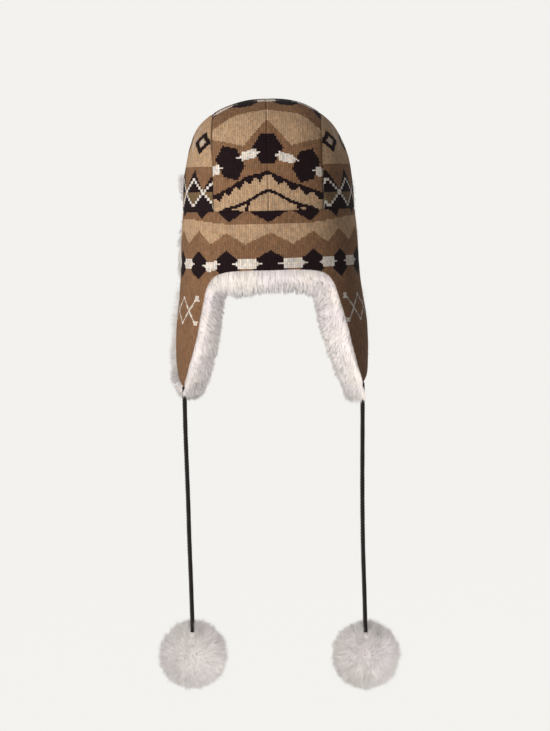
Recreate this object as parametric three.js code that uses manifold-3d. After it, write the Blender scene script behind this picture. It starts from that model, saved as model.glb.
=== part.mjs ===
import * as THREE from 'three';
import { mergeVertices } from 'three/addons/utils/BufferGeometryUtils.js';
import Module from 'manifold-3d';

// Earflap hat: a knitted crown of three panels on a band cut in one with two earflaps, lined and rimmed
// with deep fur, with the neck edge turned up as a fur cuff, and a cord with a pompom under each flap.
// Millimetres, +Z up. The front of the hat faces -Y. The origin is where the top of the head touches
// the lining.

// Knitted shell
const halfWidth = 93;
const halfDepth = 108;
const crownRise = 121;
const bandDepth = 62;
const flapLength = 128;
const flapFlare = 12.6;
const centreStripHalf = 58;
const knitWall = 3;
const seamGap = 0.3;
const ovalPower = 2.2;
const archPower = 2.5;

// Fur lining, its rim and the cuff at the back
const liningGap = 0.8;
const liningPile = 9;
const rimReach = 19;
const browReach = 25;
const rimPile = 22;
const cuffRise = 41;
const cuffPile = 14;
const cuffStart = THREE.MathUtils.degToRad(116);
const lockDepth = 0.2;
const cuffTaper = 0.25;

// Cords and pompoms
const cordDiameter = 4.5;
const pompomRadius = 39.5;
const pompomRoot = 32;
const pompomCore = 25;
const fitGap = 0.3;
const tipScatter = 0.08;

// Facets
const sideColumns = 40;
const domeRows = 5;
const stripColumns = 5;
const panelColumns = 6;
const archSteps = 26;
const cuffColumns = 30;
const cordSides = 8;
const cordStep = 3 * cordDiameter;
const drillSides = 12;
const halvings = 40;

const liningFace = knitWall + liningGap;
const seamHeight = liningFace + liningPile - crownRise;
const tipDrop = bandDepth + flapLength;

// The cosine of the angle from the middle of the forehead at which the fur is down to rimReach.
const browEnd = 0.82;

// Where the lining turns into the rim inside, as a share of the way from the crown seam to the edge.
const innerShare = 0.45;

// How far the wall stands out sideways below the crown seam: shares of the drop from the seam to the
// flap's tip, and of flapFlare.
const flareTable = [
  { drop: 0.0, flare: 0.0 },
  { drop: 0.17, flare: 0.22 },
  { drop: 0.4, flare: 0.45 },
  { drop: 0.53, flare: 0.66 },
  { drop: 0.63, flare: 0.86 },
  { drop: 0.78, flare: 1.0 },
  { drop: 0.89, flare: 0.96 },
  { drop: 0.96, flare: 0.82 },
  { drop: 1.0, flare: 0.54 },
];

// The rows of facets of the band, as shares of the way from the crown seam to the lower edge.
const bandShares = [0, 0.22, 0.44, 0.64, 0.81, 0.92, 1];

// The lower edge of one side, from the middle of the forehead round the flap to the nape: forward is a
// share of halfDepth, fall a share of flapLength below the front edge of the band.
const edgeTable = [
  { forward: 1.0, fall: 0.0 },
  { forward: 0.975, fall: 0.0 },
  { forward: 0.9, fall: 0.015 },
  { forward: 0.83, fall: 0.065 },
  { forward: 0.783, fall: 0.16 },
  { forward: 0.762, fall: 0.3 },
  { forward: 0.74, fall: 0.47 },
  { forward: 0.695, fall: 0.64 },
  { forward: 0.62, fall: 0.79 },
  { forward: 0.5, fall: 0.91 },
  { forward: 0.33, fall: 0.98 },
  { forward: 0.15, fall: 1.0 },
  { forward: -0.06, fall: 0.97 },
  { forward: -0.27, fall: 0.88 },
  { forward: -0.44, fall: 0.74 },
  { forward: -0.56, fall: 0.56 },
  { forward: -0.64, fall: 0.36 },
  { forward: -0.72, fall: 0.18 },
  { forward: -0.83, fall: 0.085 },
  { forward: -0.95, fall: 0.055 },
  { forward: -1.0, fall: 0.05 },
];

// The fur past the knitted edge, from behind the knit round the rim to the inside: reach is a share of
// rimReach, or of browReach at the forehead, beyond the edge, depth a share of rimPile inwards from the
// outer face, and lock says how much of lockDepth a lock adds there.
const rimTable = [
  { reach: 0.1, depth: 0.08, lock: 0 },
  { reach: 0.33, depth: -0.13, lock: 0.3 },
  { reach: 0.74, depth: -0.02, lock: 0.8 },
  { reach: 1.0, depth: 0.34, lock: 1 },
  { reach: 0.92, depth: 0.76, lock: 1 },
  { reach: 0.5, depth: 1.0, lock: 0.7 },
  { reach: -0.1, depth: 0.98, lock: 0.3 },
];

// The cuff's section, from its lower inside corner over the top and down its outside: rise is a share of
// its height, proud a share of cuffPile.
const cuffTable = [
  { rise: 0.0, proud: 0.0, lock: 0 },
  { rise: 0.33, proud: 0.0, lock: 0 },
  { rise: 0.66, proud: 0.0, lock: 0 },
  { rise: 0.95, proud: 0.0, lock: 0 },
  { rise: 1.0, proud: 0.5, lock: 0.5 },
  { rise: 0.84, proud: 0.92, lock: 1 },
  { rise: 0.6, proud: 1.0, lock: 1 },
  { rise: 0.36, proud: 1.0, lock: 1 },
  { rise: 0.14, proud: 0.9, lock: 1 },
  { rise: 0.0, proud: 0.5, lock: 0.5 },
];

// The route of each cord, from the tip of its flap down to the heart of its pompom.
const cordRoutes = {
  left: [
    [-97.4, -16.4, -298.8],
    [-97.5, -16.5, -318],
    [-97.6, -16.7, -337.5],
    [-97.5, -16.9, -357],
    [-97.3, -17.1, -376.5],
    [-97.1, -17.2, -396],
    [-96.9, -17.2, -415.5],
    [-96.8, -17.1, -435],
    [-96.8, -17, -454.5],
    [-96.7, -16.9, -474],
    [-96.5, -16.8, -493.5],
    [-96.3, -16.7, -513],
    [-96.2, -16.6, -532.5],
    [-96.1, -16.5, -552],
    [-96.1, -16.5, -571.1],
  ],
  right: [
    [97.4, -16.4, -298.8],
    [97.2, -16.6, -318.5],
    [96.8, -16.8, -338.3],
    [96.3, -17, -358.1],
    [95.8, -17.2, -377.9],
    [95.3, -17.3, -397.7],
    [94.9, -17.3, -417.5],
    [94.6, -17.3, -437.3],
    [94.4, -17.2, -457.1],
    [94.3, -17.1, -476.9],
    [94.4, -17, -496.7],
    [94.6, -16.9, -516.5],
    [94.8, -16.7, -536.3],
    [94.9, -16.6, -556.1],
    [95, -16.5, -576.1],
  ],
};

const knitLook = new THREE.MeshStandardMaterial({ color: 0xa5825b, roughness: 0.95, metalness: 0 });
const flapLook = new THREE.MeshStandardMaterial({ color: 0x7d5f42, roughness: 0.95, metalness: 0 });
const furLook = new THREE.MeshStandardMaterial({ color: 0xe6dad6, roughness: 0.9, metalness: 0 });
const cordLook = new THREE.MeshStandardMaterial({ color: 0x261a18, roughness: 0.85, metalness: 0 });

const wasm = await Module();
wasm.setup();

// The value of one column of a table at a value of another, on a smooth curve through the rows.
function readTable(rows, from, to, at) {
  const last = rows.length - 1;
  if (at <= rows[0][from]) return rows[0][to];
  if (at >= rows[last][from]) return rows[last][to];
  let row = 0;
  while (rows[row + 1][from] < at) row += 1;
  const slope = (k) => {
    const before = rows[Math.max(k - 1, 0)];
    const after = rows[Math.min(k + 1, last)];
    return (after[to] - before[to]) / (after[from] - before[from]);
  };
  const span = rows[row + 1][from] - rows[row][from];
  const lift = rows[row + 1][to] - rows[row][to];
  const share = (at - rows[row][from]) / span;
  const enter = slope(row) * span - lift;
  const leave = lift - slope(row + 1) * span;
  return rows[row][to] + lift * share + share * (1 - share) * (enter * (1 - share) + leave * share);
}

function power(value, exponent) {
  return Math.sign(value) * Math.abs(value) ** exponent;
}

// A number from 0 to 1 that looks random and is the same each time.
function scatter(seed) {
  const wave = Math.sin(seed * 12.9898) * 43758.5453;
  return wave - Math.floor(wave);
}

// A point of the oval at an angle that is 0 at the front and grows towards +X.
function oval(angle, width, depth) {
  const x = width * power(Math.sin(angle), 2 / ovalPower);
  const y = -depth * power(Math.cos(angle), 2 / ovalPower);
  return [x, y];
}

// A point of the whole shell: drop is measured down from the crown seam, and is negative on the crown.
// inset is measured inwards from the outer face of the knit.
function shellPoint(angle, drop, inset) {
  if (drop < 0) {
    const height = Math.min(-drop / (crownRise - inset), 1);
    const shrink = (1 - height ** archPower) ** (1 / archPower);
    const [x, y] = oval(angle, (halfWidth - inset) * shrink, (halfDepth - inset) * shrink);
    return new THREE.Vector3(x, y, seamHeight - drop);
  }
  const flare = flapFlare * readTable(flareTable, 'drop', 'flare', drop / tipDrop);
  const [x, y] = oval(angle, halfWidth + flare - inset, halfDepth - inset);
  return new THREE.Vector3(x, y, seamHeight - drop);
}

// A closed body from positions and triangles, with its corners merged and its faces pointing out.
function solid(positions, triangles) {
  const raw = new THREE.BufferGeometry();
  raw.setAttribute('position', new THREE.Float32BufferAttribute(positions, 3));
  raw.setIndex(triangles);
  const merged = mergeVertices(raw, 1e-3);
  const at = merged.getAttribute('position');
  const corner = (k) => new THREE.Vector3().fromBufferAttribute(at, k);
  const kept = [];
  let volume = 0;
  for (let k = 0; k < merged.index.count; k += 3) {
    const [a, b, c] = [0, 1, 2].map((step) => merged.index.getX(k + step));
    if (a === b || b === c || c === a) continue;
    kept.push([a, b, c]);
    volume += corner(a).dot(corner(b).cross(corner(c)));
  }
  merged.setIndex(kept.flatMap(([a, b, c]) => (volume > 0 ? [a, b, c] : [a, c, b])));
  return merged;
}

// The body whose skin runs from ring to ring. A ring of one point is a pole.
function loft(rings, closed) {
  const positions = [];
  const triangles = [];
  const starts = rings.map((ring) => {
    const start = positions.length / 3;
    for (const point of ring) positions.push(point.x, point.y, point.z);
    return start;
  });
  const spans = closed ? rings.length : rings.length - 1;
  for (let k = 0; k < spans; k += 1) {
    const next = (k + 1) % rings.length;
    const count = Math.max(rings[k].length, rings[next].length);
    for (let i = 0; i < count; i += 1) {
      const j = (i + 1) % count;
      const near = (step) => starts[k] + (rings[k].length > 1 ? step : 0);
      const far = (step) => starts[next] + (rings[next].length > 1 ? step : 0);
      if (rings[k].length > 1) triangles.push(near(i), near(j), far(j));
      if (rings[next].length > 1) triangles.push(near(i), far(j), far(i));
    }
  }
  return solid(positions, triangles);
}

// A sheet of cloth between two grids of points, each a list of rows.
function slab(outer, inner) {
  const rings = outer.map((row, k) => [...row, ...[...inner[k]].reverse()]);
  const width = outer[0].length;
  const positions = rings.flat().flatMap((point) => [point.x, point.y, point.z]);
  const round = 2 * width;
  const triangles = [];
  for (let k = 0; k + 1 < rings.length; k += 1) {
    for (let i = 0; i < round; i += 1) {
      const j = (i + 1) % round;
      const [a, b] = [k * round + i, k * round + j];
      triangles.push(a, b, b + round, a, b + round, a + round);
    }
  }
  const cap = (start, flip) => {
    for (let i = 0; i + 1 < width; i += 1) {
      const quad = [start + i, start + i + 1, start + round - 2 - i, start + round - 1 - i];
      const [a, b, c, d] = flip ? quad : [...quad].reverse();
      triangles.push(a, b, c, a, c, d);
    }
  };
  cap(0, false);
  cap((rings.length - 1) * round, true);
  return solid(positions, triangles);
}

function toManifold(geometry) {
  const vertProperties = Float32Array.from(geometry.getAttribute('position').array);
  const triVerts = Uint32Array.from(geometry.index.array);
  return new wasm.Manifold(new wasm.Mesh({ numProp: 3, vertProperties, triVerts }));
}

function cut(geometry, tool) {
  const mesh = toManifold(geometry).subtract(toManifold(tool)).getMesh();
  return solid(Array.from(mesh.vertProperties), Array.from(mesh.triVerts));
}

// An upright drill of the given radius between two heights.
function drill(x, y, radius, low, high) {
  const shape = new THREE.CylinderGeometry(radius, radius, high - low, drillSides);
  shape.rotateX(Math.PI / 2);
  shape.translate(x, y, (low + high) / 2);
  return solid(Array.from(shape.getAttribute('position').array), Array.from(shape.index.array));
}

// Crown

const domeBase = seamHeight + seamGap / 2;

// A point of the crown in the upright slice at x: turn goes from 0 at the front to PI at the back.
function archPoint(x, turn, inset) {
  const rise = crownRise - seamGap / 2 - inset;
  const across = Math.abs(x / (halfWidth - inset)) ** ovalPower;
  const along = Math.cos(turn);
  const up = Math.abs(Math.sin(turn));
  let inside = 0;
  let outside = 1.2;
  for (let pass = 0; pass < halvings; pass += 1) {
    const reach = (inside + outside) / 2;
    const flat = (across + Math.abs(reach * along) ** ovalPower) ** (archPower / ovalPower);
    if (flat + (reach * up) ** archPower < 1) inside = reach;
    else outside = reach;
  }
  return new THREE.Vector3(x, -(halfDepth - inset) * inside * along, domeBase + rise * inside * up);
}

// The grid of a panel: places gives the x of each column for an inset.
function panelGrid(places, inset) {
  const rows = [];
  for (let k = 0; k <= archSteps; k += 1) {
    rows.push(places(inset).map((x) => archPoint(x, (Math.PI * k) / archSteps, inset)));
  }
  return rows;
}

function stripPlaces(side) {
  const start = seamGap / 2;
  const span = centreStripHalf - seamGap;
  const place = (k) => side * (start + (span * k) / stripColumns);
  return () => Array.from({ length: stripColumns + 1 }, (_, k) => place(k));
}

function sidePlaces(side) {
  const start = centreStripHalf + seamGap / 2;
  return (inset) => {
    const span = halfWidth - inset - start;
    const place = (k) => start + span * Math.sin((Math.PI / 2) * (k / panelColumns));
    return Array.from({ length: panelColumns + 1 }, (_, k) => side * place(k));
  };
}

function panel(places) {
  return slab(panelGrid(places, 0), panelGrid(places, knitWall));
}

// Band with earflaps

// One column for each step along the lower edge: top is its angle at the crown seam, angle and drop are
// its lower end. The right side comes first, from the forehead to the nape, and then the left.
function edgeColumns() {
  const scale = (halfWidth + halfDepth) / 2;
  const points = edgeTable.map(({ forward, fall }) => {
    const angle = Math.acos(power(forward, ovalPower / 2));
    return new THREE.Vector2(angle * scale, bandDepth + fall * flapLength);
  });
  const side = new THREE.SplineCurve(points).getSpacedPoints(sideColumns).map((point, k) => ({
    top: (Math.PI * k) / sideColumns,
    angle: point.x / scale,
    drop: point.y,
  }));
  const mirrored = side
    .slice(1, -1)
    .reverse()
    .map(({ top, angle, drop }) => ({ top: -top, angle: -angle, drop }));
  return [...side, ...mirrored];
}

const columns = edgeColumns();

// A point of a column: share is 0 at the crown seam and 1 at the lower edge.
function columnPoint({ top, angle, drop }, share, inset) {
  const start = seamGap / 2;
  return shellPoint(top + (angle - top) * share, start + (drop - start) * share, inset);
}

function bandRing(share, inset) {
  return columns.map((column) => columnPoint(column, share, inset));
}

function band() {
  const outer = bandShares.map((share) => bandRing(share, 0));
  const inner = bandShares.map((share) => bandRing(share, knitWall)).reverse();
  return loft([...outer, ...inner], true);
}

// Fur lining

const smallTurn = 0.01;

// The directions at each step of the edge: out of the wall, and past the edge within it.
const edgeFrames = columns.map((column, k) => {
  const count = columns.length;
  const before = columns[(k + count - 1) % count];
  const after = columns[(k + 1) % count];
  const start = shellPoint(column.angle, column.drop, 0);
  const along = shellPoint(after.angle, after.drop, 0).sub(shellPoint(before.angle, before.drop, 0));
  const round = shellPoint(column.angle + smallTurn, column.drop, 0).sub(start);
  const down = shellPoint(column.angle, column.drop + 1, 0).sub(start);
  const out = down.cross(round).normalize();
  const past = along.cross(out).normalize();
  const brow = Math.max(0, (Math.cos(column.angle) - browEnd) / (1 - browEnd));
  const reach = rimReach + (browReach - rimReach) * Math.sqrt(brow);
  return { start, out, past, reach };
});

function rimRing({ reach, depth, lock }, seed) {
  return edgeFrames.map((frame, k) => {
    const tuft = k % 2 === 0 ? 0.5 : -0.2 - 0.3 * scatter(k + seed);
    const swell = 1 + lockDepth * lock * tuft;
    const point = frame.start.clone().addScaledVector(frame.past, frame.reach * reach * swell);
    return point.addScaledVector(frame.out, -rimPile * depth * swell);
  });
}

function domeRing(row, inset) {
  const lean = ((Math.PI / 2) * row) / domeRows;
  const shrink = Math.sin(lean) ** (2 / archPower);
  const lift = Math.abs(Math.cos(lean)) ** (2 / archPower);
  return columns.map(({ top }) => {
    const [x, y] = oval(top, (halfWidth - inset) * shrink, (halfDepth - inset) * shrink);
    return new THREE.Vector3(x, y, seamHeight + (crownRise - inset) * lift);
  });
}

function domeLayer(inset) {
  const apex = [new THREE.Vector3(0, 0, seamHeight + crownRise - inset)];
  return [apex, ...Array.from({ length: domeRows }, (_, k) => domeRing(k + 1, inset))];
}

function lining(route) {
  const walls = bandShares.slice(1, -1).map((share) => bandRing(share, liningFace));
  const outer = [...domeLayer(liningFace), ...walls];
  const inner = [...domeLayer(liningFace + liningPile), bandRing(innerShare, liningFace + liningPile)];
  const tuck = [-1, 2].map((way) => ({
    reach: (way * liningGap) / rimReach,
    depth: (liningFace + liningGap) / rimPile,
    lock: 0,
  }));
  const rim = [...tuck, ...rimTable].map((row, k) => rimRing(row, 100 * k));
  const body = loft([...outer, ...rim, ...inner.reverse()], false);
  const radius = cordDiameter / 2 + 2 * fitGap;
  const low = -tipDrop + seamHeight - 2 * rimReach;
  const high = -tipDrop + seamHeight + fitGap;
  return route.reduce((fur, [[x, y]]) => cut(fur, drill(x, y, radius, low, high)), body);
}

// Back cuff

function cuff() {
  const low = -(bandDepth + edgeTable.at(-1).fall * flapLength) + fitGap;
  const height = cuffRise - low;
  const sections = [];
  for (let k = 0; k <= cuffColumns; k += 1) {
    const angle = cuffStart + (2 * (Math.PI - cuffStart) * k) / cuffColumns;
    const taper = Math.sin((Math.PI * (k + 0.6)) / (cuffColumns + 1.2)) ** cuffTaper;
    sections.push(cuffTable.map(({ rise, proud, lock }, row) => {
      const tuft = (k + row) % 2 === 0 ? 1 : -scatter(31 * k + row);
      const swell = 1 + lockDepth * lock * tuft;
      const middle = 0.5 + (rise - 0.5) * (0.5 + 0.5 * taper);
      const stand = liningGap + cuffPile * proud * taper * swell;
      return shellPoint(angle, -(low + height * middle), -stand);
    }));
  }
  const heart = (section) => {
    const sum = section.reduce((total, point) => total.add(point), new THREE.Vector3());
    return [sum.divideScalar(section.length)];
  };
  return loft([heart(sections[0]), ...sections, heart(sections.at(-1))], false);
}

// Cords and pompoms

function cord(route) {
  const path = new THREE.CatmullRomCurve3(route.map(([x, y, z]) => new THREE.Vector3(x, y, z)));
  const section = new THREE.Shape();
  for (let k = 0; k < cordSides; k += 1) {
    const turn = (2 * Math.PI * k) / cordSides;
    const [x, y] = [(cordDiameter / 2) * Math.cos(turn), (cordDiameter / 2) * Math.sin(turn)];
    if (k === 0) section.moveTo(x, y);
    else section.lineTo(x, y);
  }
  section.closePath();
  const steps = Math.round(path.getLength() / cordStep);
  const tube = new THREE.ExtrudeGeometry(section, { steps, extrudePath: path, curveSegments: 1 });
  const corners = Array.from(tube.getAttribute('position').array);
  return solid(corners, Array.from({ length: corners.length / 3 }, (_, k) => k));
}

// A ball of locks: each face of the ball rises to a tip.
function pompom(route) {
  const [x, y, z] = route.at(-1);
  const centre = new THREE.Vector3(x, y, z - fitGap - pompomCore);
  const ball = new THREE.IcosahedronGeometry(1, 2).getAttribute('position');
  const positions = [];
  for (let k = 0; k < ball.count; k += 3) {
    const corner = (step) => new THREE.Vector3().fromBufferAttribute(ball, k + step).normalize();
    const corners = [0, 1, 2].map(corner);
    const tip = corners[0].clone().add(corners[1]).add(corners[2]).normalize();
    tip.multiplyScalar(pompomRadius * (1 - tipScatter * scatter(k + x)));
    const roots = corners.map((point) => point.multiplyScalar(pompomRoot));
    for (let step = 0; step < 3; step += 1) {
      for (const point of [roots[step], roots[(step + 1) % 3], tip]) {
        positions.push(...point.clone().add(centre).toArray());
      }
    }
  }
  const locks = solid(positions, Array.from({ length: positions.length / 3 }, (_, k) => k));
  const radius = cordDiameter / 2 + fitGap;
  return cut(locks, drill(x, y, radius, z - fitGap, z + pompomRadius));
}

const group = new THREE.Group();

function add(name, geometry, look) {
  const mesh = new THREE.Mesh(geometry, look);
  mesh.name = name;
  group.add(mesh);
}

add('crown_center_left', panel(stripPlaces(-1)), knitLook);
add('crown_center_right', panel(stripPlaces(1)), knitLook);
add('crown_side_left', panel(sidePlaces(-1)), knitLook);
add('crown_side_right', panel(sidePlaces(1)), knitLook);
add('band_with_earflaps', band(), flapLook);
add('fur_lining', lining(Object.values(cordRoutes)), furLook);
add('back_cuff', cuff(), furLook);
for (const [side, route] of Object.entries(cordRoutes)) {
  add(`tie_cord_${side}`, cord(route), cordLook);
  add(`pompom_${side}`, pompom(route), furLook);
}

export default group;
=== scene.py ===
"""Looks of the knitted earflap hat: charted yarn colours, deep fur, twisted cords and pompoms."""

import math

import bpy
import numpy as np
from mathutils import Matrix, Vector


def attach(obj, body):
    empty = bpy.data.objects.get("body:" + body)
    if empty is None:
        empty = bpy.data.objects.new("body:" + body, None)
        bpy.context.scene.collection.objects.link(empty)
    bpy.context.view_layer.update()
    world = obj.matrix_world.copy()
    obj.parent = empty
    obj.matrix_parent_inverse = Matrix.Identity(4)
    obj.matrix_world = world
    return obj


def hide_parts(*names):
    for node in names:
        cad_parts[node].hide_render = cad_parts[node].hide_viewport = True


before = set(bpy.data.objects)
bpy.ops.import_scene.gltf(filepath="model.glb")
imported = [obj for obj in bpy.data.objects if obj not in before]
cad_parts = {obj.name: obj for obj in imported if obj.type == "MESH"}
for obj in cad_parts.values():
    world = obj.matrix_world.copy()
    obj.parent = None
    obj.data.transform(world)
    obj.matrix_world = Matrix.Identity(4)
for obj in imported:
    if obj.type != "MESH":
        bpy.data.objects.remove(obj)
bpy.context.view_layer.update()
rng = np.random.default_rng(11)

# Sizes of the solids, in metres and radians, and the powers of their curves
HALF_WIDTH = 0.093
HALF_DEPTH = 0.108
CROWN_RISE = 0.121
BAND_DEPTH = 0.062
FLAP_LENGTH = 0.128
FLAP_FLARE = 0.0126
STRIP_HALF = 0.058
KNIT_WALL = 0.003
LINING_FACE = 0.0038
LINING_PILE = 0.009
RIM_REACH = 0.019
BROW_REACH = 0.025
BROW_END = 0.82
RIM_PILE = 0.022
CUFF_RISE = 0.041
CUFF_START = math.radians(116)
POMPOM_RADIUS = 0.0395
POMPOM_DROP = 0.0253
OVAL_POWER = 2.2
ARCH_POWER = 2.5
SEAM_HEIGHT = LINING_FACE + LINING_PILE - CROWN_RISE
TIP_DROP = BAND_DEPTH + FLAP_LENGTH

# Stitches
STITCH_ROW = 0.0015
BAND_STITCHES = 330
STRIP_STITCHES = 30
SIDE_STITCH = 0.00195
STRIP_LENGTH = 0.376
SIDE_CLIMB = 0.125
SEAM_GAP = 0.00002
MILLIMETRES = 1000

# Share of the drop from the crown seam to the flap's tip, share of FLAP_FLARE
FLARE_TABLE = [
    (0.0, 0.0), (0.17, 0.22), (0.4, 0.45), (0.53, 0.66), (0.63, 0.86),
    (0.78, 1.0), (0.89, 0.96), (0.96, 0.82), (1.0, 0.54),
]

# The lower edge: share of HALF_DEPTH forward, share of FLAP_LENGTH below the front edge
EDGE_TABLE = [
    (1.0, 0.0), (0.975, 0.0), (0.9, 0.015), (0.83, 0.065), (0.783, 0.16), (0.762, 0.3),
    (0.74, 0.47), (0.695, 0.64), (0.62, 0.79), (0.5, 0.91), (0.33, 0.98), (0.15, 1.0),
    (-0.06, 0.97), (-0.27, 0.88), (-0.44, 0.74), (-0.56, 0.56), (-0.64, 0.36),
    (-0.72, 0.18), (-0.83, 0.085), (-0.95, 0.055), (-1.0, 0.05),
]

# The backing of the rim's fur, from behind the knit round to the inside: share of the reach past the
# edge, share of RIM_PILE inwards
RIM_SECTION = [
    (-0.25, 0.18), (0.06, 0.12), (0.3, 0.03), (0.56, 0.12), (0.72, 0.38),
    (0.64, 0.68), (0.34, 0.86), (-0.1, 0.86), (-0.6, 0.72),
]

# The routes of the cords, in tenths of a millimetre
CORD_POINTS = {
    "left": [
        (-974, -164, -2988), (-975, -165, -3180), (-976, -167, -3375), (-975, -169, -3570),
        (-973, -171, -3765), (-971, -172, -3960), (-969, -172, -4155), (-968, -171, -4350),
        (-968, -170, -4545), (-967, -169, -4740), (-965, -168, -4935), (-963, -167, -5130),
        (-962, -166, -5325), (-961, -165, -5520), (-961, -165, -5711),
    ],
    "right": [
        (974, -164, -2988), (972, -166, -3185), (968, -168, -3383), (963, -170, -3581),
        (958, -172, -3779), (953, -173, -3977), (949, -173, -4175), (946, -173, -4373),
        (944, -172, -4571), (943, -171, -4769), (944, -170, -4967), (946, -169, -5165),
        (948, -167, -5363), (949, -166, -5561), (950, -165, -5761),
    ],
}
CORD_ROUTES = {side: (np.array(points) / 10000).tolist() for side, points in CORD_POINTS.items()}

# Yarn and fur colours, linear
TAN, BROWN, DARK, WHITE, OLIVE, PALE = range(6)
YARN = np.array([
    (0.510, 0.330, 0.195),
    (0.250, 0.131, 0.067),
    (0.0140, 0.0058, 0.0070),
    (0.80, 0.71, 0.62),
    (0.185, 0.118, 0.056),
    (0.60, 0.49, 0.40),
])
FUR_TIP = np.array((0.90, 0.865, 0.85))
# FUR_ROOT_SHADED is painted shade: darker than FUR_TIP at the strands' roots and on the backings under the
# strands.
FUR_ROOT_SHADED = np.array((0.80, 0.755, 0.74))

DOWN = np.array((0.0, 0.0, -1.0))
SIDEWAYS = np.array((1.0, 0.0, 0.0))

# Unevenness of the worn shell: height and size of its bumps with their seeds, and the bulge at the
# upper left, as height, place and spread in x and z
FOLD_BUMPS = [(0.0011, 0.045, 5), (0.0005, 0.018, 9)]
BULGE_HEIGHT = 0.0034
BULGE_PLACE = (-0.072, -0.026)
BULGE_SPREAD = (0.030, 0.034)


# Camera

SENSOR_WIDTH = 36
VIEW_DISTANCE = 2.2
VIEW_ELEVATION = math.radians(5.0)
VIEW_ROLL = math.radians(1.42)
VIEW_AIM = Vector((0.00235, 0.0, -0.27923))
FOCAL_PIXELS = 1997.3
IMAGE_HEIGHT = 731


def add_object(name, data):
    item = bpy.data.objects.new(name, data)
    bpy.context.collection.objects.link(item)
    return item


def make_camera():
    data = bpy.data.cameras.new("camera")
    camera = add_object("camera", data)
    back = Vector((0, -math.cos(VIEW_ELEVATION), math.sin(VIEW_ELEVATION)))
    level = Vector((1, 0, 0))
    upright = back.cross(level)
    right = level * math.cos(VIEW_ROLL) - upright * math.sin(VIEW_ROLL)
    up = upright * math.cos(VIEW_ROLL) + level * math.sin(VIEW_ROLL)
    spin = Matrix((right, up, back)).transposed().to_4x4()
    camera.matrix_world = Matrix.Translation(VIEW_AIM + back * VIEW_DISTANCE) @ spin
    data.sensor_width = SENSOR_WIDTH
    data.lens = SENSOR_WIDTH * FOCAL_PIXELS / IMAGE_HEIGHT
    data.clip_start = 0.05
    data.clip_end = 60
    bpy.context.scene.camera = camera


make_camera()


# Shared shapes and numbers

def signed_power(value, power):
    return np.sign(value) * np.abs(value) ** power


def smooth_table(table, at):
    """The table's second column at a value of its first, on the smooth curve that the solids follow."""
    xs, ys = np.array(table).T
    at = np.clip(at, xs[0], xs[-1])
    row = np.clip(np.searchsorted(xs, at, side="right") - 1, 0, len(xs) - 2)
    before = np.maximum(np.arange(len(xs)) - 1, 0)
    after = np.minimum(np.arange(len(xs)) + 1, len(xs) - 1)
    slope = (ys[after] - ys[before]) / (xs[after] - xs[before])
    span = xs[row + 1] - xs[row]
    lift = ys[row + 1] - ys[row]
    share = (at - xs[row]) / span
    enter = slope[row] * span - lift
    leave = lift - slope[row + 1] * span
    return ys[row] + lift * share + share * (1 - share) * (enter * (1 - share) + leave * share)


def shell(angle, drop, inset=0.0):
    """A point of the shell: drop is measured down from the crown seam, inset inwards from the knit."""
    angle, drop, inset = np.broadcast_arrays(angle, drop, inset)
    height = np.clip(-drop / (CROWN_RISE - inset), 0, 1)
    shrink = (1 - height ** ARCH_POWER) ** (1 / ARCH_POWER)
    across = (HALF_WIDTH - inset) * shrink + FLAP_FLARE * smooth_table(FLARE_TABLE, drop / TIP_DROP)
    along = (HALF_DEPTH - inset) * shrink
    x = across * signed_power(np.sin(angle), 2 / OVAL_POWER)
    y = -along * signed_power(np.cos(angle), 2 / OVAL_POWER)
    return np.stack([x, y, SEAM_HEIGHT - drop], -1)


def unit(vectors):
    return vectors / np.maximum(np.linalg.norm(vectors, axis=-1, keepdims=True), 1e-12)


def shell_out(angle, drop):
    around = shell(angle + 0.004, drop) - shell(angle - 0.004, drop)
    down = shell(angle, drop + 0.0006) - shell(angle, drop - 0.0006)
    return unit(np.cross(down, around))


def lattice(cell, seed):
    """Numbers from 0 to 1 that look random and belong to the cells of a grid."""
    i, j, k = np.moveaxis(cell.astype(np.int64), -1, 0)
    mixed = (i * 374761393 + j * 668265263 + k * 974634777 + seed * 1274126177) & 0xFFFFFFFF
    mixed = ((mixed ^ (mixed >> 13)) * 1274126177) & 0xFFFFFFFF
    return ((mixed ^ (mixed >> 16)) & 0xFFFF) / 65535.0


def lattice_vector(cell, seed):
    return np.stack([lattice(cell, seed + k) for k in range(3)], -1)


def noise(points, size, seed):
    """Smooth noise from -1 to 1 with bumps of the given size."""
    place = points / size
    cell = np.floor(place)
    part = place - cell
    part = part * part * (3 - 2 * part)
    total = np.zeros(points.shape[:-1])
    for corner in np.ndindex(2, 2, 2):
        step = np.array(corner)
        weight = np.prod(np.where(step == 1, part, 1 - part), axis=-1)
        total += weight * lattice(cell + step, seed)
    return 2 * total - 1


def noise_vector(points, size, seed):
    return np.stack([noise(points, size, seed + k) for k in range(3)], -1)


def folds(points):
    """How far the worn shell stands out from its plain form, in metres."""
    bumps = sum(height * noise(points, size, seed) for height, size, seed in FOLD_BUMPS)
    across = (points[..., 0] - BULGE_PLACE[0]) / BULGE_SPREAD[0]
    up = (points[..., 2] - BULGE_PLACE[1]) / BULGE_SPREAD[1]
    return bumps + BULGE_HEIGHT * np.exp(-across ** 2 - up ** 2)


def smooth_step(low, high, value):
    share = np.clip((value - low) / (high - low), 0, 1)
    return share * share * (3 - 2 * share)


def run_lengths(path):
    """The distance along a path at each of its points."""
    return np.concatenate([[0], np.cumsum(np.linalg.norm(np.diff(path, axis=0), axis=1))])


def middles(values):
    return (values[:-1] + values[1:]) / 2


def read_table(table, at):
    return np.interp(at, *np.array(table, float).T)


def mix(first, second, share):
    return first * (1 - share) + second * share


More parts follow.
